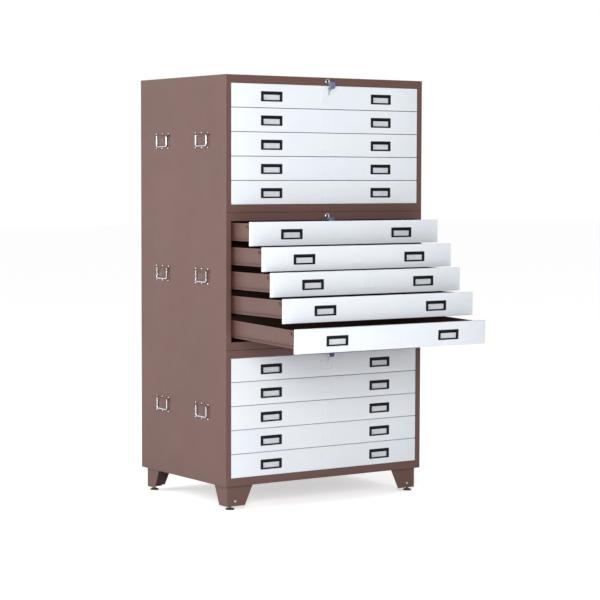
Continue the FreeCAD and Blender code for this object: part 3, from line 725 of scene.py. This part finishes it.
@dataclass
class DrawerFront:
    """A folded steel front with two recessed pulls, their label panels, and a card frame between them.

    It is modelled about the middle of its own lower front edge, and it faces -Y.
    """

    shop: Paintshop
    width: float = 946.0
    height: float = 96.4
    depth: float = 17.0
    fold: float = 1.5
    spread: float = 278.0
    level: float = 45.7
    cup_width: float = 100.0
    cup_height: float = 37.0
    cup_depth: float = 14.0
    bezel_width: float = 105.5
    bezel_height: float = 41.5
    bezel_proud: float = 2.0
    mouth_width: float = 84.0
    rim: float = 4.2
    rim_rise: float = 1.5
    mouth_low: float = -14.6
    mouth_high: float = 12.25
    recess: float = 8.0
    hollow: float = 4.5
    # Where the grey panel stops; the black cup back above it, up to the mouth's top, is painted shade under
    # the lip.
    panel_top_below_painted_shade: float = 7.0
    panel_left: float = -37.5
    panel_right: float = 40.5
    panel_setback: float = 1.3
    field_left: float = 9.0
    field_right: float = 8.0
    card_width: float = 67.0
    card_height: float = 42.0
    card_proud: float = 1.5
    card_sheet: float = 0.6
    card_ear: float = 4.0
    card_lip: float = 4.0
    card_notch: float = 9.0

    def pan(self) -> Piece:
        """Models the folded sheet with its rounded edge, its two cup pockets and the lining's seam.

        Returns:
            The piece.
        """
        half = self.width / 2
        pan = block("front_pan", (-half, 0.0, 0.0), (half, self.depth, self.height))
        with shaping(pan):
            for side in (-1, 1):
                cut("X", side * self.spread - self.cup_width / 2, side * self.spread + self.cup_width / 2)
            cut("Z", self.level - self.cup_height / 2, self.level + self.cup_height / 2)
            faces(lambda at, way: way.y < -SQUARE and near(abs(at.x), self.spread, 1.0)
                  and near(at.z, self.level, 1.0))
            push(y=self.cup_depth + 0.2)
            inset(looks(y=1), (1.2, 0.0), (0.5, -0.5), (0.5, 0.5))
            ease(lambda at, way: near(at.y, 0.0) and (
                near(abs(at.x), half) or near(at.z, 0.0) or near(at.z, self.height)), self.fold, 3)
        return smooth(dress(pan, self.shop.white))

    def pull(self) -> Piece:
        """Models the left-hand pull: a bezel over a cup, with a mouth and a finger hollow above it; the
        black cup back above the label panel is painted shade under the lip.

        Returns:
            The piece.
        """
        across, up = -self.spread, self.level
        half_width, half_height = self.bezel_width / 2, self.bezel_height / 2
        face = self.rim_rise - self.bezel_proud
        pull = block("front_pull", (across - half_width, face, up - half_height),
                     (across + half_width, 0.0, up + half_height))
        mouth = self.mouth_width / 2
        low, high = up + self.mouth_low, up + self.mouth_high
        with shaping(pull):
            inset(looks(y=-1), (self.rim, self.rim_rise))
            ease(either("y"), 2.6, 3)
            ease(lambda at, way: near(at.y, -self.bezel_proud), 0.5, 2)
            inset(looks(y=1), ((self.bezel_width - self.cup_width) / 2 + 0.2, 0.0))
            push(y=self.cup_depth - 0.2)
            cut("X", across - mouth, across + mouth)
            cut("Z", low, high)
            faces(lambda at, way: way.y < -SQUARE and near(at.x, across, 1.0) and low < at.z < high)
            push(y=self.bezel_proud + 1.0)
            # The recess back is black plastic; above the grey panel it is painted shade under the lip.
            push(y=self.recess - 1.0)
            faces(lambda at, way: near(at.z, high) and near(at.x, across, 1.0)
                  and 1.0 < at.y < self.recess and abs(way.z) > SQUARE)
            push(z=self.hollow)
            ease(lambda at, way: near(at.y, -self.bezel_proud) and abs(at.x - across) < mouth + 0.1
                 and low - 0.1 < at.z < high + 0.1
                 and (near(abs(at.x - across), mouth) or near(at.z, low) or near(at.z, high)), 0.7, 2)
        return smooth(dress(pull, self.shop.black))

    def panel(self) -> Piece:
        """Models the label panel in the lower part of the left-hand mouth, with a sunk field and a fixing;
        above it the mouth shows the pull's black cup back, painted shade standing for the shade under the
        lip.

        Returns:
            The piece.
        """
        across, up = -self.spread, self.level
        left, right = across + self.panel_left, across + self.panel_right
        low, high = up + self.mouth_low + 0.1, up + self.panel_top_below_painted_shade
        front = self.panel_setback
        panel = block("front_panel", (left, front, low), (right, front + 2.0, high))
        with shaping(panel):
            ease(lambda at, way: near(at.y, front), 0.4, 2)
            field = (left + self.field_left, right - self.field_right)
            cut("X", *field)
            inset(lambda at, way: way.y < -SQUARE and field[0] < at.x < field[1],
                  (1.0, 0.0), (0.4, -0.5))
        smooth(dress(panel, self.shop.insert))
        dot = disc("panel_fixing", (left + 5.0, front + 0.1, up - 5.5), "Y", 1.8, 1.0, 16)
        with shaping(dot):
            inset(looks(y=-1), (0.5, 0.0), (0.3, -0.5))
        dress(dot, self.shop.nylon)
        return joined("front_panel", [panel, dot])

    def card_frame(self) -> Piece:
        """Models the card frame: a thin plate with lips on three sides, and four riveted ears.

        Returns:
            The piece.
        """
        ear, lip, sheet = self.card_ear, self.card_lip, self.card_sheet
        half = self.card_width / 2 - ear
        low, high = self.level - self.card_height / 2, self.level + self.card_height / 2
        card = block("front_card_frame", (-half, -sheet, low), (half, 0.1, high))
        with shaping(card):
            cut("Z", low + self.card_notch, high - self.card_notch)
            for side in (-1, 1):
                faces(lambda at, way: way.x * side > SQUARE and not near(at.z, self.level, 5.0))
                push(x=side * ear)
            ease(lambda at, way: way.y > SQUARE and near(abs(at.x), half + ear), 1.6, 3)
            cut("X", lip - half, half - lip)
            cut("Z", low + lip)
            faces(lambda at, way: way.y < -SQUARE and abs(at.x) < half
                  and (abs(at.x) > half - lip or at.z < low + lip))
            push(y=sheet - self.card_proud)
            ease(lambda at, way: near(at.y, -self.card_proud), 0.3, 2)
        smooth(dress(card, self.shop.white))
        rivets = Screws(self.shop, 1.5, 0.8).set_of("card_rivets", [
            shift(side * (half + ear / 2 - 0.1), -sheet, height)
            for side in (-1, 1) for height in (low + self.card_notch / 2, high - self.card_notch / 2)])
        dress(rivets, self.shop.white)
        return joined("front_card_frame", [card, rivets])

    @staticmethod
    def seat(case: str, drawer: int) -> Matrix:
        """Where a level drawer's lower front edge is, from its packed front.

        Args:
            case: the case's name.
            drawer: the drawer's number from the top.

        Returns:
            The move from the pattern's place.
        """
        low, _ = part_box(f"{case}_drawer_{drawer}_front")
        return Matrix.Translation((0.0, low.y + 2.0 * MM, low.z))

    def stand(self, case: str, drawer: int) -> Matrix:
        """Where a drawer's front is, with its nod if it has one.

        Args:
            case: the case's name.
            drawer: the drawer's number from the top.

        Returns:
            The move from the pattern's place.
        """
        joints = {joint["name"]: joint for joint in frame["joints"]}
        nod = joints.get(f"{case}_drawer_{drawer}_nod")
        if nod is None:
            return self.seat(case, drawer)
        travel = -min(joints[f"{case}_drawer_{drawer}_slide"]["range_m"])
        closed = self.seat("upper", drawer).translation
        above, next_above = (self.seat(case, drawer - step).translation for step in (1, 2))
        level = Matrix.Translation((0.0, closed.y - travel, 2 * above.z - next_above.z))
        pivot = Matrix.Translation(Vector(nod["pos_m"]))
        angle = radians(-min(nod["range_deg"]))
        return pivot @ Matrix.Rotation(angle, 4, Vector(nod["axis"])) @ pivot.inverted() @ level

    def build(self) -> None:
        """Models the front once and fits a copy to each of the fifteen drawers."""
        across = shift(2 * self.spread, 0.0, 0.0)
        left, panel = self.pull(), self.panel()
        patterns = (
            ("pan", Slot.WHITE, self.pan()),
            ("pulls", Slot.BLACK, joined("pulls", [left, copied(left, "right_pull", across)])),
            ("panels", Slot.INSERT, joined("panels", [panel, copied(panel, "right_panel", across)])),
            ("card_frame", Slot.WHITE, self.card_frame()),
        )
        for case in CASES:
            for drawer in DRAWERS:
                body = f"{case}_drawer_{drawer}"
                place = self.stand(case, drawer)
                for part, slot, pattern in patterns:
                    fit(copied(pattern, f"{body}_{part}", place), body, slot, f"{body}_front")
        discard(*(pattern for _, _, pattern in patterns))


@dataclass
class Handle:
    """A carrying handle's pressed plate, hinge and screws, modelled for the left side and facing -X."""

    shop: Paintshop
    length: float = 116.0
    height: float = 70.0
    sheet: float = 1.5
    corner: float = 6.0
    dish: float = 0.6
    pivot_lift: float = 20.0
    pivot_out: float = 5.5
    ear_start: float = 44.5
    ear_length: float = 8.0
    ear_out: float = 9.5
    ridge_half: float = 34.0
    ridge_out: float = 5.2
    screw_spots: tuple[tuple[float, float], ...] = (
        (-49.0, -30.0), (49.0, -30.0), (-49.0, 30.0), (49.0, 30.0), (0.0, -31.0), (0.0, 31.0))

    def plate(self) -> Piece:
        """Models the plate, dished inside a flat rim, with a rolled hinge ridge across its upper part.

        Returns:
            The piece.
        """
        half = self.length / 2
        plate = block("handle_plate", (-self.sheet, -half, -self.height / 2), (0.0, half, self.height / 2))
        with shaping(plate):
            ease(either("x"), self.corner, 5)
            inset(looks(x=-1), (0.5, 0.0), (3.4, 0.0), (1.0, -self.dish))
            ease(lambda at, way: near(at.x, -self.sheet) and (
                near(abs(at.y), half) or near(abs(at.z), self.height / 2)), 0.4, 2)
        return smooth(plate)

    def knuckle(self, name: str, start: float, end: float, out: float) -> Piece:
        """Models a rolled hinge knuckle round the pivot.

        Args:
            name: what the piece is called.
            start: where it begins along the plate.
            end: where it ends along the plate.
            out: how far it stands from the case.

        Returns:
            The knuckle.
        """
        low, high = self.pivot_lift - 4.0, self.pivot_lift + 4.0
        knuckle = block(name, (-out, start, low), (-0.8, end, high))
        with shaping(knuckle):
            ease(lambda at, way: way.y > SQUARE and near(at.x, -out), 3.8, 6)
            inset(either("y"), (1.0, 0.0), (0.4, -0.5))
        return smooth(knuckle)

    def build(self) -> None:
        """Models the handle once and fits a copy to each of the twelve places."""
        ear_end = self.ear_start + self.ear_length
        body = joined("handle_body", [
            self.plate(),
            self.knuckle("ear", self.ear_start, ear_end, self.ear_out),
            self.knuckle("ear", -ear_end, -self.ear_start, self.ear_out),
            self.knuckle("ridge", -self.ridge_half, self.ridge_half, self.ridge_out),
        ])
        dress(body, self.shop.brown)
        face_left = Matrix.Rotation(-pi / 2, 4, "Z")
        screws = Screws(self.shop).set_of("handle_screws", [
            shift(-self.sheet, along, up) @ face_left for along, up in self.screw_spots])
        for case in CASES:
            for side, flip in (("left", 1.0), ("right", -1.0)):
                for spot in ("front", "rear"):
                    name = f"{case}_{side}_{spot}"
                    low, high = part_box(f"{name}_bail")
                    face = -flip * (abs((low.x + high.x) / 2) - self.pivot_out * MM)
                    up = high.z - (self.pivot_lift + 3.0) * MM
                    place = Matrix.Translation((face, (low.y + high.y) / 2, up)) @ Matrix.Diagonal(
                        (flip, 1.0, 1.0, 1.0))
                    fit(copied(body, f"{name}_handle_plate", place), "cabinet", Slot.BROWN, "handle_plates")
                    fit(copied(screws, f"{name}_handle_screws", place), "cabinet", Slot.CHROME)
                    dress(frame["nodes"][f"{name}_bail"], self.shop.chrome)
        discard(body, screws)


@dataclass
class Lock:
    """A cam lock's turning parts with its key, modelled about the lock's axis on the case's face."""

    shop: Paintshop
    nose: float = 2.5
    core_radius: float = 6.95
    core_length: float = 22.5
    throw: float = 8.0
    cam_half: float = 3.5
    cam_sheet: float = 2.5
    pin_radius: float = 2.5
    pin_length: float = 7.5
    key_reach: float = 14.0
    blade_half: float = 1.1
    blade_rise: float = 3.5
    bow_half: float = 2.5
    bow_reach: float = 24.0
    bow_high: float = -3.0
    bow_low: float = -31.0
    bow_turn: float = 45.0
    hole_in: float = 4.5
    hole_half: float = 1.7
    hole_height: float = -8.5
    ring_radius: float = 8.0
    ring_wire: float = 0.7
    spare_radius: float = 8.0
    spare_half: float = 0.9
    spare_lean: float = -10.0
    notch_pitch: float = 2.5
    notch_bites: tuple[float, ...] = (1.2, 0.6, 1.5, 0.9)

    def core(self) -> Piece:
        """Models the plug with its keyway, and the cam and pin behind it.

        Returns:
            The piece.
        """
        middle = self.core_length / 2 - self.nose
        core = disc("lock_core", (0.0, middle, 0.0), "Y", self.core_radius, self.core_length, 40)
        with shaping(core):
            ease(lambda at, way: near(at.y, -self.nose), 0.5, 2)
            inset(lambda at, way: way.y < -0.99, (1.6, 0.0), (0.3, -0.4))
        smooth(core)
        tail = self.core_length - self.nose
        half, reach = self.cam_half, self.throw + self.cam_half
        cam = block("lock_cam", (-half, tail, -reach), (reach, tail + self.cam_sheet, half))
        with shaping(cam):
            ease(either("y"), 3.2, 4)
        smooth(cam)
        pin = disc("lock_pin", (self.throw, tail + self.pin_length / 2, -self.throw), "Y", self.pin_radius,
                   self.pin_length, 20)
        with shaping(pin):
            ease(lambda at, way: way.y < 0.1, 0.3, 1)
        smooth(pin)
        return dress(joined("lock_core", [core, cam, pin]), self.shop.black)

    def blade(self) -> Piece:
        """Models the key's blade from the keyway to its shoulder.

        Returns:
            The piece.
        """
        end = -self.nose - self.key_reach
        half, rise = self.blade_half, self.blade_rise
        blade = block("key_blade", (-half, end, -rise), (half, 2.0 - self.nose, rise))
        with shaping(blade):
            cut("Y", end + 3.0)
            inset(lambda at, way: abs(way.z) > SQUARE and at.y < end + 3.0, (0.3, 0.0))
            ease(either("y"), 0.4, 2)
        return dress(smooth(blade), self.shop.zinc)

    def bow(self) -> Piece:
        """Models the folded-down moulded bow: a rounded tab with thumb dishes and a hole for the ring.

        Returns:
            The piece.
        """
        end = -self.nose - self.key_reach
        far = end - self.bow_reach
        bow = block("key_bow", (-self.bow_half, far, self.bow_low), (self.bow_half, end, self.bow_high))
        hole = end - self.hole_in
        with shaping(bow):
            ease(lambda at, way: way.x > SQUARE and at.y < far + 1.0, 8.0, 6)
            ease(lambda at, way: way.x > SQUARE and near(at.y, end) and near(at.z, self.bow_low), 9.0, 5)
            ease(lambda at, way: way.x > SQUARE and near(at.y, end) and near(at.z, self.bow_high), 2.0, 3)
            inset(either("x"), (1.1, 0.0), (1.2, -0.7))
            cut("Y", hole - self.hole_half, hole + self.hole_half)
            cut("Z", self.hole_height - self.hole_half, self.hole_height + self.hole_half)
            faces(lambda at, way: abs(way.x) > SQUARE and near(at.y, hole, 1.0)
                  and near(at.z, self.hole_height, 1.0))
            bpy.ops.mesh.bridge_edge_loops()
            bpy.ops.mesh.select_all(action="SELECT")
            bpy.ops.transform.rotate(value=radians(-self.bow_turn), orient_axis="Z",
                                     center_override=Vector((0.0, end, 0.0)) * MM)
        return dress(smooth(bow, 40.0), self.shop.key)

    def hole(self) -> tuple[float, float]:
        """Where the bow's hole is across and out from the lock, once the bow is turned."""
        turn = radians(self.bow_turn)
        return self.hole_in * sin(turn), -self.nose - self.key_reach - self.hole_in * cos(turn)

    def ring(self) -> Piece:
        """Models the split ring through the bow's hole.

        Returns:
            The piece.
        """
        across, out = self.hole()
        middle = self.hole_height - self.ring_radius + 1.0
        clear()
        bpy.ops.mesh.primitive_torus_add(major_radius=self.ring_radius * MM, major_segments=40,
                                         minor_radius=self.ring_wire * MM, minor_segments=10,
                                         rotation=(pi / 2, 0.0, radians(20.0)),
                                         location=Vector((across, out, middle)) * MM)
        ring = named("key_ring")
        with shaping(ring):
            inset(lambda at, way: near(at.z, middle, 1.5) and at.x > across, (0.1, -0.12))
        return dress(smooth(ring, 50.0), self.shop.chrome)

    def spare(self) -> Piece:
        """Models the flat spare key, which leans as it hangs from the ring.

        Returns:
            The piece.
        """
        across, out = self.hole()
        low = self.hole_height - 2 * self.ring_radius
        head = disc("spare_key_head", (across - 4.0, out, low - 6.0), "Y", self.spare_radius,
                    2 * self.spare_half, 32)
        with shaping(head):
            inset(either("y"), (1.6, 0.0), (0.4, -0.3))
            ease(lambda at, way: way.y < 0.1 and near(abs(at.y - out), self.spare_half), 0.25, 1)
        smooth(head)
        tip = low - 35.0
        shank = block("spare_key_shank", (across - 6.4, out - self.spare_half, tip),
                      (across - 1.6, out + self.spare_half, low - 12.0))
        with shaping(shank):
            cut("Z", *(tip + 3.0 + self.notch_pitch * notch for notch in range(len(self.notch_bites) + 1)))
            for notch, bite in enumerate(self.notch_bites):
                height = tip + 3.0 + self.notch_pitch * (notch + 0.5)
                faces(lambda at, way: way.x > 0.5 and near(at.z, height, 1.0))
                bpy.ops.transform.translate(value=(-bite * MM, 0.0, 0.0))
            ease(lambda at, way: way.y > SQUARE and near(at.z, tip), 1.4, 3)
        smooth(shank)
        key = joined("spare_key", [head, shank])
        with shaping(key):
            bpy.ops.mesh.select_all(action="SELECT")
            bpy.ops.transform.rotate(value=radians(self.spare_lean), orient_axis="Y",
                                     center_override=Vector((across, out, low)) * MM)
        return dress(smooth(key), self.shop.chrome)

    def build(self) -> None:
        """Models the lock once and fits a copy to each case; an open drawer leaves no room for a spare."""
        core, blade, bow, ring, spare = self.core(), self.blade(), self.bow(), self.ring(), self.spare()
        for case in CASES:
            body = f"{case}_lock_plug"
            turn = next(joint for joint in frame["joints"] if joint["name"] == f"{case}_lock_turn")
            place = Matrix.Translation(Vector(turn["pos_m"]))
            fit(copied(core, f"{case}_lock_core", place), body, Slot.BLACK, body)
            fit(copied(blade, f"{case}_key_blade", place), body, Slot.ZINC, body)
            fit(copied(bow, f"{case}_key_bow", place), body, Slot.KEY, body)
            if case != "middle":
                fit(copied(ring, f"{case}_key_ring", place), body, Slot.CHROME)
                fit(copied(spare, f"{case}_spare_key", place), body, Slot.CHROME)
            dress(frame["nodes"][f"{case}_lock_bar"], self.shop.zinc)
        discard(core, blade, bow, ring, spare)


@dataclass
class Leveller:
    """A screw-in leveller: a swivel pad, a threaded stem and two nuts, modelled on the floor."""

    shop: Paintshop
    pad_radius: float = 18.0
    pad_height: float = 8.0
    stem_radius: float = 5.0
    stem_height: float = 62.0
    pitch: float = 1.6
    nut_radius: float = 9.0
    nut_height: float = 6.0
    nut_places: tuple[float, ...] = (12.9, 22.6)

    def pad(self) -> Piece:
        """Models the pad with a chamfered foot and a sloped collar.

        Returns:
            The piece.
        """
        pad = disc("leveller_pad", (0.0, 0.0, 2.5), "Z", self.pad_radius, 5.0, 48)
        with shaping(pad):
            ease(lambda at, way: near(at.z, 0.0), 0.8, 2)
            inset(looks(z=1), (1.0, 0.4), (7.0, self.pad_height - 5.4))
        return dress(smooth(pad), self.shop.rubber)

    def stem(self) -> Piece:
        """Models the threaded stem as a stack of rounded ridges.

        Returns:
            The piece.
        """
        length = self.stem_height - 6.0
        stem = disc("leveller_stem", (0.0, 0.0, 6.0 + length / 2), "Z", self.stem_radius, length, 20)
        turns = int((length - 4.0) / self.pitch)
        roots = [9.0 + self.pitch * turn for turn in range(turns)]
        with shaping(stem):
            for root in roots:
                cut("Z", root, root + self.pitch / 2)
            edges(lambda at, way: way.z < 0.1 and any(near(at.z, root, 0.05) for root in roots))
            waist(0.86, (0.0, 0.0, 0.0))
        return dress(smooth(stem, 20.0), self.shop.zinc)

    def nut(self, low: float) -> Piece:
        """Models a chamfered hexagon nut.

        Args:
            low: how high it stands.

        Returns:
            The piece.
        """
        middle = (0.0, 0.0, low + self.nut_height / 2)
        nut = disc("leveller_nut", middle, "Z", self.nut_radius, self.nut_height, 6)
        with shaping(nut):
            inset(either("z"), (0.9, 0.0))
            ease(lambda at, way: way.z < 0.1 and at.xy.length > self.nut_radius * 0.8, 0.6, 2)
        return dress(smooth(nut), self.shop.zinc)

    def build(self) -> None:
        """Models the leveller once and fits a copy under each foot."""
        whole = joined("leveller", [self.pad(), self.stem(), *(self.nut(low) for low in self.nut_places)])
        for side in ("left", "right"):
            for spot in ("front", "rear"):
                name = f"{side}_{spot}_leveller"
                low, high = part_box(name)
                place = Matrix.Translation(((low.x + high.x) / 2, (low.y + high.y) / 2, 0.0))
                fit(copied(whole, f"{name}_foot", place), name, Slot.BLACK, name)
        discard(whole)


@dataclass
class Body:
    """The three cases with their feet and everything that is fixed in them."""

    shop: Paintshop
    foot_screw_in: float = 57.0
    foot_screw_height: float = 35.0
    rivet_edge: float = 14.0
    rivets_across: int = 7
    rivets_up: int = 4

    def paint(self) -> None:
        """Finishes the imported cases, feet, trays, runners and lock barrels."""
        nodes = frame["nodes"]
        for case in CASES:
            dress(nodes[f"{case}_case"], self.shop.brown)
            for drawer in DRAWERS:
                dress(nodes[f"{case}_drawer_{drawer}_tray"], self.shop.brown)
        dress(nodes["foot_brackets"], self.shop.brown)
        dress(nodes["drawer_runners"], self.shop.zinc)
        dress(nodes["middle_drawer_5_rollers"], self.shop.nylon)
        dress(nodes["lock_barrels"], self.shop.chrome)
        log.info("packed cases, trays, feet, runners, rollers and barrels finished")

    def foot_screws(self) -> None:
        """Sets a screw head in the front and back plates of the feet."""
        low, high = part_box("foot_brackets")
        case_low, case_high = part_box("lower_case")
        across = (case_low.x / MM + self.foot_screw_in, case_high.x / MM - self.foot_screw_in)
        turned = Matrix.Rotation(pi, 4, "Z")
        places = [shift(x, low.y / MM, self.foot_screw_height) for x in across]
        places += [shift(x, high.y / MM, self.foot_screw_height) @ turned for x in across]
        fit(Screws(self.shop, 5.0, 2.2).set_of("foot_screws", places), "cabinet", Slot.CHROME)

    def row(self, low: float, high: float, count: int) -> list[float]:
        """Spaces rivets evenly between two edges.

        Args:
            low: the one edge.
            high: the other edge.
            count: how many rivets there are.

        Returns:
            Where each of them is.
        """
        gap = (high - low - 2 * self.rivet_edge) / (count - 1)
        return [low + self.rivet_edge + gap * step for step in range(count)]

    def back_rivets(self) -> None:
        """Sets blind rivets round each back panel."""
        turned = Matrix.Rotation(pi, 4, "Z")
        for case in CASES:
            low, high = (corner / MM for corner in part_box(f"{case}_case"))
            across = self.row(low.x, high.x, self.rivets_across)
            up = self.row(low.z, high.z, self.rivets_up)
            spots = {(x, z) for x in across for z in up
                     if x in (across[0], across[-1]) or z in (up[0], up[-1])}
            rivets = Screws(self.shop, 2.6, 0.9).set_of(f"{case}_back_rivets", [
                shift(x, high.y - 1.0, z) @ turned for x, z in sorted(spots)])
            dress(rivets, self.shop.brown)
            fit(rivets, "cabinet", Slot.BROWN)

    def build(self) -> None:
        """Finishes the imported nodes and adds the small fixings."""
        self.paint()
        self.foot_screws()
        self.back_rivets()


@dataclass(frozen=True)
class Softbox:
    """A square area light aimed at a point."""

    name: str
    place: tuple[float, float, float]
    target: tuple[float, float, float]
    size: float
    power: float
    tint: tuple[float, float, float] = (1.0, 1.0, 1.0)

    def hang(self) -> None:
        """Adds the light to the scene."""
        light = bpy.data.lights.new(self.name, "AREA")
        light.shape, light.size, light.energy, light.color = "SQUARE", self.size, self.power, self.tint
        lamp = bpy.data.objects.new(self.name, light)
        lamp.location = self.place
        lamp.rotation_euler = (Vector(self.target) - Vector(self.place)).to_track_quat("-Z", "Y").to_euler()
        bpy.context.scene.collection.objects.link(lamp)


@dataclass
class Studio:
    """A pale floor, soft lights, a white surround and the camera."""

    camera_place: tuple[float, float, float] = (-4.7179, -7.0675, 1.3714)
    turn: float = -34.279
    dip: float = 3.632
    roll: float = 0.137
    lens: float = 117.48
    surround: float = 0.45
    floor_lift: float = 0.55
    softboxes: tuple[Softbox, ...] = (
        Softbox("front_softbox", (-2.7, -4.1, 1.9), (0.0, -0.4, 0.9), 2.0, 145.0),
        Softbox("side_softbox", (-6.0, 1.2, 2.6), (-0.5, 0.0, 1.1), 3.0, 190.0),
        Softbox("rear_softbox", (-4.5, 5.5, 1.9), (-0.5, 0.0, 1.0), 4.0, 45.0),
        Softbox("top_softbox", (0.0, -1.0, 5.5), (0.0, -0.6, 0.0), 5.0, 50.0),
    )

    def floor(self) -> None:
        """Lays a wide pale floor."""
        clear()
        bpy.ops.mesh.primitive_plane_add(size=80.0, location=(0.0, 0.0, 0.0))
        floor = named("floor")
        pale = bpy.data.materials.new("pale_floor")
        pale.use_nodes = True
        shader = pale.node_tree.nodes["Principled BSDF"]
        for label, value in {"Base Color": (0.96, 0.96, 0.96, 1.0), "Roughness": 0.9,
                             "Specular IOR Level": 0.1, "Emission Color": (1.0, 1.0, 1.0, 1.0)}.items():
            shader.inputs[label].default_value = value
        seen = add(pale.node_tree, "LightPath").outputs["Is Camera Ray"]
        glow = add(pale.node_tree, "Math", {0: seen, 1: self.floor_lift}, operation="MULTIPLY")
        pale.node_tree.links.new(glow.outputs[0], shader.inputs["Emission Strength"])
        floor.data.materials.append(pale)

    def camera(self) -> None:
        """Sets the camera up."""
        data = bpy.data.cameras.new("camera")
        data.lens, data.sensor_width, data.clip_end = self.lens, 36.0, 200.0
        camera = bpy.data.objects.new("camera", data)
        camera.matrix_world = (
            Matrix.Translation(self.camera_place)
            @ Matrix.Rotation(radians(self.turn), 4, "Z")
            @ Matrix.Rotation(radians(90.0 - self.dip), 4, "X")
            @ Matrix.Rotation(radians(self.roll), 4, "Z"))
        bpy.context.scene.collection.objects.link(camera)
        bpy.context.scene.camera = camera

    def build(self) -> None:
        """Builds the studio."""
        scene = bpy.context.scene
        scene.view_settings.view_transform = "Standard"
        scene.view_settings.look = "None"
        world = bpy.data.worlds.new("surround")
        world.use_nodes = True
        seen = add(world.node_tree, "LightPath").outputs["Is Camera Ray"]
        strength = add(world.node_tree, "MapRange", {"Value": seen, "To Min": self.surround, "To Max": 1.0})
        background = world.node_tree.nodes["Background"]
        background.inputs["Color"].default_value = (1.0, 1.0, 1.0, 1.0)
        world.node_tree.links.new(strength.outputs[0], background.inputs["Strength"])
        scene.world = world
        self.floor()
        self.camera()
        for softbox in self.softboxes:
            softbox.hang()


def main() -> None:
    """Builds each sub-assembly in turn and the studio round them."""
    logging.basicConfig(level=logging.INFO, format="%(name)s: %(message)s")
    Studio().build()
    shop = Paintshop()
    for part in (Body(shop), DrawerFront(shop), Handle(shop), Lock(shop), Leveller(shop)):
        part.build()


if __name__ == "__main__":
    main()
